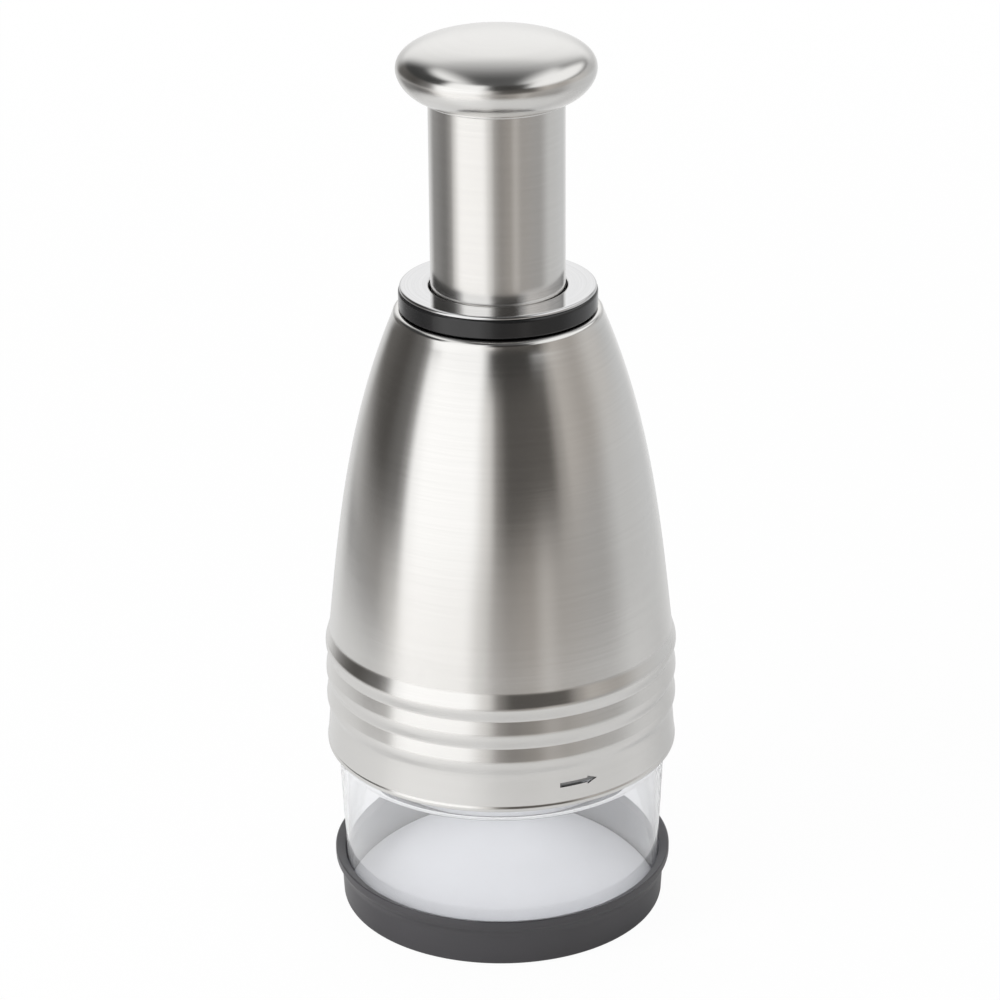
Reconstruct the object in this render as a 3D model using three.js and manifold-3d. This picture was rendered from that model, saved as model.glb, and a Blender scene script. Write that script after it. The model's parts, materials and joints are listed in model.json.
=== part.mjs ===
// A plunger food chopper: press the knob and the zig-zag blades drop through the clear chamber, turning
// a little on the way, and a spring lifts them again.
// Millimetres, +Z up, with the underside of the foot ring at z = 0.
import * as THREE from "three";
import { mergeVertices } from "three/addons/utils/BufferGeometryUtils.js";
import Module from "manifold-3d";

const wasm = await Module();
wasm.setup();

// Clearances
const snug = 0.3; // between pieces that are fastened or clipped together
const running = 0.4; // between pieces that slide or turn on one another
const bonded = 0.05; // glue line under the trim disc
const overrun = 1; // how far a cutting body reaches past the face that it cuts
const weld = 0.001; // vertices closer than this are one

// Facets
const wideSides = 36;
const middleSides = 28;
const smallSides = 20;
const pinSides = 8;
const nutSides = 6;
const lugSteps = 3;
const edgeSteps = 3;

// Housing: a spun steel shell over a moulded liner
const shellRadius = 44.2;
const shellWall = 0.6;
const domeHeight = 84.7;
const domeStepIn = 0.4;
const domeSteps = 6;
const shellRim = { edge: 0.6, land: 1.9 };
const hem = { flare: 0.8, height: 0.9, blend: 4.4 };
const bead = { count: 3, first: 12.45, pitch: 7.45, lead: 2.4, fall: 4.75 };
const crest = { rise: 0.75, below: 0.4, above: 0.9 };
const mark = { azimuth: 19, length: 10.3, thickness: 1.1, head: 2.2, headLength: 3, rise: 5.9, depth: 0.3 };
const markSteps = 5;
const liner = { skirtWall: 1, domeWall: 1.6, domeGap: 0.6, ledgeWidth: 5.5, ledgeHeight: 6 };
const linerPlate = { thickness: 2.5, depth: 5.5 };
const linerSteps = 4;

// Clear chamber with a shoulder ring that carries the housing, and lugs for the quarter-turn catch
const chamberLength = 42.65;
const chamberWall = 1.8;
const chamberDraft = 1.8;
const neckStep = 0.3;
const neckHeight = 12.4;
const shoulder = { height: 2.5, chamfer: 0.6 };
const lug = { count: 3, height: 3, rise: 6, spread: 14 };
const twist = 25;

// Base cap, chopping board and foot ring
const cap = { height: 13.6, floor: 2.2, wall: 1.1, foot: 0.5, edge: 0.9 };
const capRim = { overhang: 1.5, band: 2.3, flare: 2.2, round: 0.4, fall: 1.2 };
const board = { thickness: 1.8, chamfer: 0.5 };
const footRing = { inner: 33, width: 4.5, depth: 1, proud: 0.4 };

// Collar, trim disc and the long bush that guides the plunger tube
const collar = { spigotWall: 3.7, seat: 1.4, height: 4.9, chamfer: 0.5 };
const trim = { thickness: 0.75, margin: 0.3, round: 0.3, hole: 0.5 };
const bush = { wall: 1, flange: 0.9, flangeHeight: 1.4, topGap: 0.4 };

// Plunger: knob, tube, slider, sleeve and spring
const tube = { radius: 16.7, wall: 0.6, exposed: 47.75, grip: 4.4 };
const knob = { radius: 24.4, crown: 8.5, belly: 7.1, wall: 0.8, crownPower: 0.885, bellyPower: 1.15 };
const knobSteps = 6;
const coreSteps = 4;
const slider = { flange: 2.7, reach: 2.8, insert: 10, wall: 1.6, clear: 1.9 };
const stopRing = { height: 2.2, width: 2.2 };
const plug = { depth: 10.6 };
const sleeve = { wall: 1.7, step: 14, counterbore: 0.9, topWall: 3, seat: 3.6 };
const spring = { wire: 0.8, turns: 11, sides: 5, stepsPerTurn: 8 };
const springWasher = { clear: 1.2, rim: 2.1, thickness: 0.8 };

// Spindle: a round bar with steep helical fins that turn it as it drops through the cam nut
const spindle = { radius: 5.9, shoulder: 2, clear: 0.6, groove: 1.3, head: 1.7 };
const fin = { count: 3, height: 1.9, width: 2.5, rootSteps: 3 };
const cutterTurn = 30;
const finSteps = 5;
const thrustWasher = { thickness: 0.8 };
const clip = { thickness: 0.7, clear: 0.2, gap: 40 };
const camNut = { wall: 4.4, depth: 3.8, flange: 1, flangeHeight: 1.6 };
const bulkhead = { thickness: 3, clear: 2.2 };

// Cutter: hub, blades and the wiper plate that the blades pass through
const wiper = { rise: 0.75, thickness: 2.4, rimGap: 2.4, rim: 1.6, rimHeight: 2.2, slotGap: 0.5 };
const blade = { thickness: 0.8, edge: 0.2, bevel: 2, height: 13.2, tenon: 2.8 };
const bladeTips = { recess: 0.7, boardGap: 0.2 };
const hub = { clear: 4.4, thickness: 4.5, bossWall: 2.2, bossHeight: 3.5, web: 1.4 };
const bladeAcrossShares = [-0.89, -0.445, 0, 0.445, 0.89];
const bladeOutShares = [0.17, 0.75, 0.22, 0.75, 0.17];

// Screws
const collarScrew = { head: 2, headHeight: 1.4, shank: 1.1, length: 8.1, inset: 1.6 };
const bulkheadScrew = { head: 2.2, headHeight: 1.5, shank: 1.2, length: 8.1, inset: 2.5 };
const knobScrew = { head: 3.2, headHeight: 1.7, shank: 1.6, length: 14 };
const hubScrew = { head: 4, headHeight: 1.7, shank: 1.8, length: 9.7 };
const screwCount = 3;
const headEdgeShare = 0.25;

// Radii that follow from each other, from the shell inwards
const shellBore = shellRadius - shellWall;
const linerRadius = shellBore - snug;
const linerBore = linerRadius - liner.skirtWall;
const neckRadius = linerBore - running;
const chamberRadius = neckRadius + neckStep;
const chamberBore = chamberRadius - chamberWall;
const chamberFoot = chamberRadius - chamberDraft;
const boardRadius = chamberFoot - chamberWall - snug;
const hubRadius = chamberBore - hub.clear;
const bushBore = tube.radius + running;
const bushRadius = bushBore + bush.wall;
const bushFlange = bushRadius + bush.flange;
const collarBore = bushRadius + snug;
const collarCounterbore = bushFlange + snug;
const spigotRadius = collarCounterbore + collar.spigotWall;
const shellMouth = spigotRadius + snug;
const domeTopRadius = shellMouth + shellRim.land + shellRim.edge;
const collarRadius = shellMouth + collar.seat;
const collarScrewCircle = collarCounterbore + collarScrew.inset;
const bulkheadCircle = linerBore - bulkheadScrew.inset;
const tubeBore = tube.radius - tube.wall;
const sliderBore = tubeBore - snug - slider.wall;
const finTip = spindle.radius + fin.height;
const nutCorner = finTip + camNut.wall;
const nutHole = nutCorner + snug / Math.cos(Math.PI / nutSides);
const bossRadius = finTip + hub.bossWall;
const sleeveBore = spindle.radius + running;
const sleeveRadius = sleeveBore + sleeve.wall;
const springRadius = (sleeveRadius + sliderBore) / 2;
const sleeveCounterbore = sleeveBore + sleeve.counterbore;
const clipGroove = spindle.radius - spindle.groove;

// Levels that follow from each other, from the table up
const capUnder = footRing.proud;
const capTop = capUnder + cap.height;
const capFloor = capUnder + cap.floor;
const boardUnder = capFloor + snug;
const boardTop = boardUnder + board.thickness;
const chamberUnder = capFloor + snug;
const shoulderTop = chamberUnder + chamberLength;
const neckTop = shoulderTop + neckHeight;
const lugUnder = shoulderTop + lug.rise;
const skirtBottom = shoulderTop + snug;
const lastBead = skirtBottom + bead.first + (bead.count - 1) * bead.pitch;
const domeBottom = lastBead + bead.fall;
const domeTop = domeBottom + domeHeight;
const shellTop = domeTop + shellRim.edge;
const wiperUnder = skirtBottom + wiper.rise;
const wiperTop = wiperUnder + wiper.thickness;
const bladeTip = wiperUnder + bladeTips.recess;
const stroke = bladeTip - boardTop - bladeTips.boardGap;
const hubUnder = bladeTip + blade.height;
const hubTop = hubUnder + hub.thickness;
const bossTop = hubTop + hub.bossHeight;
const socketUnder = hubUnder + hubScrew.headHeight + snug + hub.web;
const spindleUnder = socketUnder + snug;
const bulkheadUnder = bossTop + bulkhead.clear;
const bulkheadTop = bulkheadUnder + bulkhead.thickness;
const bulkheadHoleTop = bulkheadUnder + bulkheadScrew.length;
const ledgeUnder = bulkheadTop + snug;
const nutFlangeUnder = bulkheadTop + snug;
const nutTop = nutFlangeUnder + camNut.flangeHeight;
const springWasherUnder = nutTop + snug;
const springUnder = springWasherUnder + springWasher.thickness + snug;
const spindleShoulder = nutTop + stroke + spindle.clear;
const thrustUnder = spindleShoulder + spindle.shoulder + snug;
const sleeveUnder = thrustUnder + thrustWasher.thickness + snug;
const sliderUnder = bulkheadTop + stroke + slider.clear;
const tubeUnder = sliderUnder + slider.flange + snug;
const bushUnder = tubeUnder + stopRing.height + snug;
const plateTop = shellTop - linerPlate.depth;
const plateUnder = plateTop - linerPlate.thickness;
const collarUnder = shellTop + snug;
const spigotUnder = plateTop + snug;
const collarTop = collarUnder + collar.height;
const trimUnder = collarTop + bonded;
const trimTop = trimUnder + trim.thickness;
const knobUnder = trimTop + tube.exposed;
const knobWaist = knobUnder + knob.belly;
const tubeTop = knobUnder + tube.grip;
const plugUnder = knobUnder - plug.depth;
const sleeveTop = plugUnder + sleeve.seat + sleeve.topWall;
const sleeveStep = sleeveTop - sleeve.topWall - sleeve.step;
const clipUnder = sleeveStep + snug;
const clipTop = clipUnder + clip.thickness;

const up = new THREE.Vector3(0, 0, 1);
const radians = THREE.MathUtils.degToRad;

// Shares from 0 to 1 in even steps
const evenly = (steps) => Array.from({ length: steps + 1 }, (_, i) => i / steps);

// Angles spread evenly round the axis, in radians
const around = (count) => Array.from({ length: count }, (_, i) => (2 * Math.PI * i) / count);
const lugAngles = around(lug.count).map((angle) => angle + Math.PI / 2);

// The manifold solid of a closed geometry, without the collapsed triangles at a pole
function solid(geometry) {
  const bare = new THREE.BufferGeometry();
  bare.setAttribute("position", geometry.getAttribute("position"));
  bare.setIndex(geometry.getIndex());
  const merged = mergeVertices(bare, weld);
  const corners = merged.getIndex().array;
  const kept = [];
  for (let i = 0; i < corners.length; i += 3) {
    const [a, b, c] = corners.slice(i, i + 3);
    if (a !== b && b !== c && c !== a) kept.push(a, b, c);
  }
  const vertProperties = merged.getAttribute("position").array;
  const mesh = new wasm.Mesh({ numProp: 3, vertProperties, triVerts: new Uint32Array(kept) });
  return new wasm.Manifold(mesh);
}

// A solid of revolution about Z from a closed outline of [radius, height] pairs, listed anticlockwise
function turned(outline, sides) {
  const points = [...outline, outline[0]].map(([r, z]) => new THREE.Vector2(r, z));
  return solid(new THREE.LatheGeometry(points, sides).rotateX(Math.PI / 2));
}

const ring = (inner, outer, low, high, sides) =>
  turned([[inner, low], [outer, low], [outer, high], [inner, high]], sides);

const rod = (radius, low, high, sides) =>
  turned([[0, low], [radius, low], [radius, high], [0, high]], sides);

// A flat shape raised from one level to another
function raised(shape, low, high, steps = lugSteps) {
  const settings = { depth: high - low, bevelEnabled: false, curveSegments: steps };
  return solid(new THREE.ExtrudeGeometry(shape, settings).translate(0, 0, low));
}

// A piece of a ring between two angles, in radians
function sector(inner, outer, start, end) {
  const shape = new THREE.Shape();
  shape.absarc(0, 0, outer, start, end, false);
  shape.absarc(0, 0, inner, end, start, true);
  return shape;
}

// A closed body through sections of as many points as the outline, which also closes the two ends
function lofted(sections, outline) {
  const count = outline.length;
  const last = (sections.length - 1) * count;
  const corners = [];
  for (let start = 0; start < last; start += count) {
    for (let i = 0; i < count; i++) {
      const next = (i + 1) % count;
      corners.push(start + i, start + next, start + count + next);
      corners.push(start + i, start + count + next, start + count + i);
    }
  }
  for (const [a, b, c] of THREE.ShapeUtils.triangulateShape(outline, [])) {
    corners.push(c, b, a);
    corners.push(last + a, last + b, last + c);
  }
  const geometry = new THREE.BufferGeometry().setFromPoints(sections.flat());
  geometry.setIndex(corners);
  return solid(geometry);
}

// A body drilled in the same places around the axis
function drilled(body, circle, radius, low, high) {
  for (const angle of around(screwCount)) {
    const drill = new THREE.CylinderGeometry(radius, radius, high - low, pinSides).rotateX(Math.PI / 2);
    drill.translate(circle * Math.cos(angle), circle * Math.sin(angle), (low + high) / 2);
    body = body.subtract(solid(drill));
  }
  return body;
}

// A pan-head screw that points up, with its shank starting from the head at the given level
function screw(size, level) {
  const edge = size.headHeight * headEdgeShare;
  return turned(
    [
      [0, level - size.headHeight],
      [size.head - edge, level - size.headHeight],
      [size.head, level - size.headHeight + edge],
      [size.head, level],
      [size.shank, level],
      [size.shank, level + size.length - size.shank],
      [size.shank / 2, level + size.length],
      [0, level + size.length],
    ],
    pinSides,
  );
}

// The outside radius of the shell's dome, which falls slowly at first and then in a cubic curve
function domeRadius(level) {
  const share = Math.max(0, Math.min(1, (level - domeBottom) / domeHeight));
  const start = shellRadius - domeStepIn;
  return start - ((start - domeTopRadius) * (share + share ** 3)) / 2;
}

// The dome's outline between two levels, moved inwards by an inset, as [radius, height] pairs
const domeOutline = (low, high, inset, steps) =>
  evenly(steps).map((share) => {
    const level = low + (high - low) * share;
    return [domeRadius(level) - inset, level];
  });

// The three beads that ring the skirt, one straight above the other: steep below and long above
function beadOutline() {
  const points = [];
  for (let i = 0; i < bead.count; i++) {
    const middle = skirtBottom + bead.first + i * bead.pitch;
    points.push([shellRadius, middle - bead.lead]);
    points.push([shellRadius + crest.rise, middle - crest.below]);
    points.push([shellRadius + crest.rise, middle + crest.above]);
  }
  return points;
}

// The arrow pressed into the skirt that shows which way the housing turns off the chamber
function twistMark() {
  const tail = evenly(markSteps).map((share) => share * (mark.length - mark.headLength));
  const lower = tail.map((along) => new THREE.Vector2(along, -mark.thickness / 2));
  const upper = tail.map((along) => new THREE.Vector2(along, mark.thickness / 2)).reverse();
  const headStart = mark.length - mark.headLength;
  const outline = [
    ...lower,
    new THREE.Vector2(headStart, -mark.head / 2),
    new THREE.Vector2(mark.length, 0),
    new THREE.Vector2(headStart, mark.head / 2),
    ...upper,
  ];
  const start = radians(mark.azimuth) - Math.PI / 2;
  const wrapped = (radius) =>
    outline.map(({ x, y }) => {
      const angle = start + x / shellRadius;
      const level = skirtBottom + mark.rise + y;
      return new THREE.Vector3(radius * Math.cos(angle), radius * Math.sin(angle), level);
    });
  return lofted([wrapped(shellRadius - mark.depth), wrapped(shellRadius + overrun)], outline);
}

function housingShell() {
  const outside = [
    [shellRadius + hem.flare - shellWall, skirtBottom],
    [shellRadius + hem.flare, skirtBottom],
    [shellRadius + hem.flare, skirtBottom + hem.height],
    [shellRadius, skirtBottom + hem.height + hem.blend],
    ...beadOutline(),
    ...domeOutline(domeBottom, domeTop, 0, domeSteps),
    [domeTopRadius - shellRim.edge, shellTop],
    [shellMouth, shellTop],
  ];
  const inside = domeOutline(domeTop, domeBottom, shellWall, domeSteps);
  const shell = turned(
    [
      ...outside,
      [shellMouth, shellTop - shellWall],
      [domeTopRadius - shellRim.edge - shellWall, shellTop - shellWall],
      ...inside,
      [shellBore, domeBottom - bead.lead],
      [shellBore, skirtBottom + hem.height + hem.blend],
    ],
    wideSides,
  );
  return shell.subtract(twistMark());
}

// The slot of the catch: in from the lower edge, then round to where the lug locks
function catchSlot(locked) {
  const half = radians(lug.spread / 2) + running / neckRadius;
  const low = lugUnder - running;
  const high = lugUnder + lug.height + running;
  const turn = radians(twist);
  const inner = neckRadius;
  const outer = linerRadius + overrun;
  const run = raised(sector(inner, outer, locked - turn - half, locked + half), low, high, pinSides);
  const entry = raised(sector(inner, outer, locked - turn - half, locked - turn + half), skirtBottom, high);
  return run.add(entry);
}

function housingLiner() {
  const ledgeTop = ledgeUnder + liner.ledgeHeight;
  const inset = shellWall + liner.domeGap;
  const plateEdge = domeRadius(plateUnder) - inset - liner.domeWall;
  let body = turned(
    [
      [linerBore, skirtBottom + hem.height],
      [linerRadius, skirtBottom + hem.height],
      [linerRadius, domeBottom - bead.lead],
      ...domeOutline(domeBottom, plateTop, inset, linerSteps),
      [collarBore, plateTop],
      [collarBore, plateUnder],
      [plateEdge, plateUnder],
      ...domeOutline(plateUnder - linerPlate.thickness, ledgeTop, inset + liner.domeWall, linerSteps),
      [linerBore - liner.ledgeWidth, ledgeTop],
      [linerBore - liner.ledgeWidth, ledgeUnder],
      [linerBore, ledgeUnder],
    ],
    wideSides,
  );
  for (const angle of lugAngles) body = body.subtract(catchSlot(angle));
  const wide = bulkheadScrew.shank + snug;
  const narrow = collarScrew.shank + snug;
  body = drilled(body, bulkheadCircle, wide, ledgeUnder - overrun, bulkheadHoleTop);
  return drilled(body, collarScrewCircle, narrow, plateUnder - overrun, plateTop + overrun);
}

function chamber() {
  const shoulderUnder = shoulderTop - shoulder.height;
  const shoulderRadius = shellBore - snug;
  let body = turned(
    [
      [chamberFoot - chamberWall, chamberUnder],
      [chamberFoot, chamberUnder],
      [chamberRadius, shoulderUnder - shoulder.chamfer],
      [shoulderRadius, shoulderUnder],
      [shoulderRadius, shoulderTop],
      [neckRadius, shoulderTop],
      [neckRadius, neckTop],
      [chamberBore, neckTop],
      [chamberBore, shoulderTop],
    ],
    wideSides,
  );
  const half = radians(lug.spread / 2);
  const root = (chamberBore + neckRadius) / 2;
  for (const angle of lugAngles) {
    const shape = sector(root, linerRadius - snug, angle - half, angle + half);
    body = body.add(raised(shape, lugUnder, lugUnder + lug.height));
  }
  return body;
}

// The chamber's outside radius at a level below its shoulder
function chamberOutside(level) {
  const share = (level - chamberUnder) / (shoulderTop - shoulder.height - shoulder.chamfer - chamberUnder);
  return chamberFoot + chamberDraft * share;
}

function baseCap() {
  const mouth = chamberOutside(capTop) + snug;
  const body = mouth + cap.wall;
  const rim = body + capRim.overhang;
  const foot = body - cap.foot;
  const grooveTop = capUnder + footRing.depth;
  const bandUnder = capTop - capRim.band;
  const edge = evenly(edgeSteps).map((share) => {
    const angle = (share * Math.PI) / 2;
    return [foot - cap.edge * (1 - Math.sin(angle)), capUnder + cap.edge * (1 - Math.cos(angle))];
  });
  return turned(
    [
      [0, capUnder],
      [footRing.inner, capUnder],
      [footRing.inner, grooveTop],
      [footRing.inner + footRing.width, grooveTop],
      [footRing.inner + footRing.width, capUnder],
      ...edge,
      [body, bandUnder - capRim.flare],
      [rim, bandUnder],
      [rim, capTop - capRim.round],
      [rim - capRim.round, capTop],
      [mouth, capTop - capRim.fall],
      [mouth, capFloor],
      [0, capFloor],
    ],
    wideSides,
  );
}

const choppingBoard = () =>
  turned(
    [
      [0, boardUnder],
      [boardRadius, boardUnder],
      [boardRadius, boardTop - board.chamfer],
      [boardRadius - board.chamfer, boardTop],
      [0, boardTop],
    ],
    wideSides,
  );

function footRingBody() {
  const outer = footRing.inner + footRing.width - snug;
  return ring(footRing.inner + snug, outer, 0, capUnder + footRing.depth - snug, wideSides);
}

function collarBody() {
  const counterboreTop = spigotUnder + bush.flangeHeight + snug;
  const body = turned(
    [
      [collarCounterbore, spigotUnder],
      [spigotRadius, spigotUnder],
      [spigotRadius, collarUnder],
      [collarRadius - collar.chamfer, collarUnder],
      [collarRadius, collarUnder + collar.chamfer],
      [collarRadius, collarTop - collar.chamfer],
      [collarRadius - collar.chamfer, collarTop],
      [collarBore, collarTop],
      [collarBore, counterboreTop],
      [collarCounterbore, counterboreTop],
    ],
    middleSides,
  );
  const holeTop = spigotUnder + collarScrew.length - linerPlate.thickness;
  return drilled(body, collarScrewCircle, collarScrew.shank + snug, spigotUnder - overrun, holeTop);
}

function trimDisc() {
  const outer = collarRadius - trim.margin;
  const inner = bushBore + trim.hole;
  return turned(
    [
      [inner, trimUnder],
      [outer, trimUnder],
      [outer, trimTop - trim.round],
      [outer - trim.round, trimTop],
      [inner, trimTop],
    ],
    wideSides,
  );
}

function guideBush() {
  const flangeTop = spigotUnder + bush.flangeHeight;
  return turned(
    [
      [bushBore, bushUnder],
      [bushRadius, bushUnder],
      [bushRadius, spigotUnder],
      [bushFlange, spigotUnder],
      [bushFlange, flangeTop],
      [bushRadius, flangeTop],
      [bushRadius, collarTop - bush.topGap],
      [bushBore, collarTop - bush.topGap],
    ],
    middleSides,
  );
}

function bulkheadPlate() {
  const through = bulkhead.thickness + 2 * overrun;
  const hexagon = new THREE.CylinderGeometry(nutHole, nutHole, through, nutSides);
  hexagon.rotateX(Math.PI / 2).translate(0, 0, (bulkheadUnder + bulkheadTop) / 2);
  const plate = rod(linerBore - running, bulkheadUnder, bulkheadTop, wideSides).subtract(solid(hexagon));
  const hole = bulkheadScrew.shank + snug;
  return drilled(plate, bulkheadCircle, hole, bulkheadUnder - overrun, bulkheadTop + overrun);
}

// The spindle's cross-section, a round with fins, grown by a gap, with its points listed anticlockwise
function finOutline(gap) {
  const radius = spindle.radius + gap;
  const tip = finTip + gap;
  const half = fin.width / 2 + gap;
  const points = [];
  const root = Math.asin(half / radius);
  const crest = Math.asin(half / tip);
  const between = (2 * Math.PI) / fin.count - 2 * root;
  for (const middle of around(fin.count)) {
    points.push([tip, middle - crest], [tip, middle + crest]);
    for (const share of evenly(fin.rootSteps)) points.push([radius, middle + root + between * share]);
  }
  return points.map(([r, angle]) => new THREE.Vector2(r * Math.cos(angle), r * Math.sin(angle)));
}

// The finned bar between two levels: pressing it down by the stroke turns it by the cutter's turn
function finnedBar(gap, low, high) {
  const outline = finOutline(gap);
  const sections = evenly(finSteps).map((share) => {
    const level = low + (high - low) * share;
    const angle = (-radians(cutterTurn) * (level - bulkheadTop)) / stroke;
    return outline.map(({ x, y }) => new THREE.Vector3(x, y, 0).applyAxisAngle(up, angle).setZ(level));
  });
  return lofted(sections, outline);
}

function camNutBody() {
  const height = camNut.depth + snug;
  const hexagon = new THREE.CylinderGeometry(nutCorner, nutCorner, height, nutSides);
  hexagon.rotateX(Math.PI / 2).translate(0, 0, nutFlangeUnder - height / 2);
  const flange = rod(nutCorner + camNut.flange, nutFlangeUnder, nutTop, smallSides);
  const blank = flange.add(solid(hexagon));
  return blank.subtract(finnedBar(running, nutFlangeUnder - camNut.depth - overrun, nutTop + overrun));
}

function spindleBody() {
  const fins = finnedBar(0, spindleUnder, spindleShoulder + spindle.shoulder / 2);
  const bar = turned(
    [
      [0, spindleShoulder],
      [sleeveRadius, spindleShoulder],
      [sleeveRadius, spindleShoulder + spindle.shoulder],
      [spindle.radius, spindleShoulder + spindle.shoulder],
      [spindle.radius, clipUnder - snug],
      [clipGroove, clipUnder - snug],
      [clipGroove, clipTop + snug],
      [spindle.radius, clipTop + snug],
      [spindle.radius, clipTop + snug + spindle.head],
      [0, clipTop + snug + spindle.head],
    ],
    smallSides,
  );
  const holeTop = hubUnder + snug + hubScrew.headHeight + hubScrew.length + snug;
  return bar.add(fins).subtract(rod(hubScrew.shank + snug, spindleUnder - overrun, holeTop, pinSides));
}

function spindleClip() {
  const open = radians(clip.gap / 2);
  const outer = sleeveCounterbore - clip.clear;
  const shape = sector(clipGroove + snug, outer, open, 2 * Math.PI - open);
  return raised(shape, clipUnder, clipTop, pinSides);
}

function spindleSleeve() {
  return turned(
    [
      [sleeveBore, sleeveUnder],
      [sleeveRadius, sleeveUnder],
      [sleeveRadius, sleeveTop],
      [knobScrew.shank + snug, sleeveTop],
      [knobScrew.shank + snug, sleeveTop - sleeve.topWall],
      [sleeveCounterbore, sleeveTop - sleeve.topWall],
      [sleeveCounterbore, sleeveStep],
      [sleeveBore, sleeveStep],
    ],
    smallSides,
  );
}

// The knob's upper outline, from the waist to the middle of the crown, taken in by an inset
const crownOutline = (inset, steps) =>
  evenly(steps).map((share) => {
    const angle = (share * Math.PI) / 2;
    const radius = share < 1 ? (knob.radius - inset) * Math.cos(angle) ** knob.crownPower : 0;
    return [radius, knobWaist + (knob.crown - inset) * Math.sin(angle) ** knob.crownPower];
  });

// The knob's underside, from the mouth round the tube out to the waist, taken in by an inset
const bellyOutline = (inset, steps) =>
  evenly(steps).slice(0, steps).map((share) => {
    const angle = ((1 - share) * Math.PI) / 2;
    const mouth = tube.radius + snug;
    const radius = mouth + (knob.radius - inset - mouth) * Math.cos(angle) ** knob.bellyPower;
    return [radius, knobWaist - (knob.belly - inset) * Math.sin(angle) ** knob.bellyPower];
  });

const palmKnob = () =>
  turned(
    [
      ...bellyOutline(0, knobSteps),
      ...crownOutline(0, knobSteps),
      ...crownOutline(knob.wall, coreSteps).reverse(),
      ...bellyOutline(knob.wall, coreSteps).reverse(),
    ],
    middleSides,
  );

// The moulded core that fills the knob, grips the tube's end and takes the sleeve and its screw
function knobCore() {
  const inset = knob.wall + snug;
  const belly = bellyOutline(inset, coreSteps).filter(([radius, level]) => level > tubeTop - tube.grip / 2);
  const full = turned(
    [
      [0, plugUnder],
      [tubeBore - snug, plugUnder],
      [tubeBore - snug, belly[0][1]],
      ...belly,
      ...crownOutline(inset, coreSteps),
    ],
    smallSides,
  );
  const groove = ring(tubeBore - snug, tube.radius + snug, plugUnder - overrun, tubeTop + snug, middleSides);
  const socket = rod(sleeveRadius + snug, plugUnder - overrun, sleeveTop + snug, smallSides);
  const screwTop = sleeveTop - sleeve.topWall + knobScrew.length;
  const pilot = rod(knobScrew.shank + snug, plugUnder - overrun, screwTop + snug, pinSides);
  return full.subtract(groove).subtract(socket).subtract(pilot);
}

const plungerTube = () => ring(tubeBore, tube.radius, tubeUnder, tubeTop, middleSides);

function stopRingBody() {
  const inner = tube.radius + snug;
  return ring(inner, inner + stopRing.width, tubeUnder, tubeUnder + stopRing.height, smallSides);
}

function springWasherBody() {
  const top = springWasherUnder + springWasher.thickness;
  const outer = springRadius + springWasher.rim;
  return ring(finTip + springWasher.clear, outer, springWasherUnder, top, smallSides);
}

function thrustWasherBody() {
  const top = thrustUnder + thrustWasher.thickness;
  return ring(spindle.radius + snug, sleeveRadius, thrustUnder, top, smallSides);
}

function tubeSlider() {
  return turned(
    [
      [sliderBore, sliderUnder],
      [tube.radius + slider.reach, sliderUnder],
      [tube.radius + slider.reach, sliderUnder + slider.flange],
      [tubeBore - snug, sliderUnder + slider.flange],
      [tubeBore - snug, tubeUnder + slider.insert],
      [sliderBore, tubeUnder + slider.insert],
    ],
    smallSides,
  );
}

// The return spring, one unbroken tube along a helix, with the least gap between its turns printed
function returnSpring() {
  const low = springUnder + spring.wire;
  const high = plugUnder - snug - spring.wire;
  const steps = spring.turns * spring.stepsPerTurn;
  const flat = around(spring.sides).map(
    (angle) => new THREE.Vector2(spring.wire * Math.cos(angle), spring.wire * Math.sin(angle)),
  );
  const centres = evenly(steps).map((share) => {
    const angle = 2 * Math.PI * spring.turns * share;
    const level = low + (high - low) * share;
    return new THREE.Vector3(springRadius * Math.cos(angle), springRadius * Math.sin(angle), level);
  });
  let least = Infinity;
  for (let i = 0; i + spring.stepsPerTurn <= steps; i++) {
    const gap = centres[i].distanceTo(centres[i + spring.stepsPerTurn]) - 2 * spring.wire;
    least = Math.min(least, gap);
  }
  console.log("least gap between the spring's turns", least.toFixed(2), "mm");
  const sections = centres.map((centre) => {
    const outward = new THREE.Vector3(centre.x, centre.y, 0).normalize();
    return flat.map(({ x, y }) => centre.clone().addScaledVector(outward, -x).addScaledVector(up, y));
  });
  return lofted(sections, flat);
}

// A zig-zag band either side of a run of points, mitred at each corner, listed anticlockwise
function band(points, half) {
  const side = (sign) =>
    points.map((point, i) => {
      const before = points[Math.max(i - 1, 0)];
      const after = points[Math.min(i + 1, points.length - 1)];
      const normalIn = new THREE.Vector2().subVectors(i ? point : after, i ? before : point).normalize();
      const normalOut = new THREE.Vector2().subVectors(after, point);
      if (normalOut.length() === 0) normalOut.copy(normalIn);
      normalOut.normalize();
      const first = new THREE.Vector2(-normalIn.y, normalIn.x);
      const second = new THREE.Vector2(-normalOut.y, normalOut.x);
      const mitre = first.clone().add(second).normalize();
      return point.clone().addScaledVector(mitre, (sign * half) / mitre.dot(first));
    });
  return [...side(-1), ...side(1).reverse()];
}

// The path of one blade across the hub, in front of the axis or behind it
const bladePath = (front) =>
  bladeAcrossShares.map((across, i) => {
    const out = -front * bladeOutShares[i];
    return new THREE.Vector2(across * hubRadius, out * hubRadius);
  });

function bladeBody(front) {
  const levels = [
    [bladeTip, blade.edge / 2],
    [bladeTip + blade.bevel, blade.thickness / 2],
    [hubUnder + blade.tenon, blade.thickness / 2],
  ];
  const outline = band(bladePath(front), blade.thickness / 2);
  const sections = levels.map(([level, half]) =>
    band(bladePath(front), half).map(({ x, y }) => new THREE.Vector3(x, y, level)),
  );
  return lofted(sections, outline);
}

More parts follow.
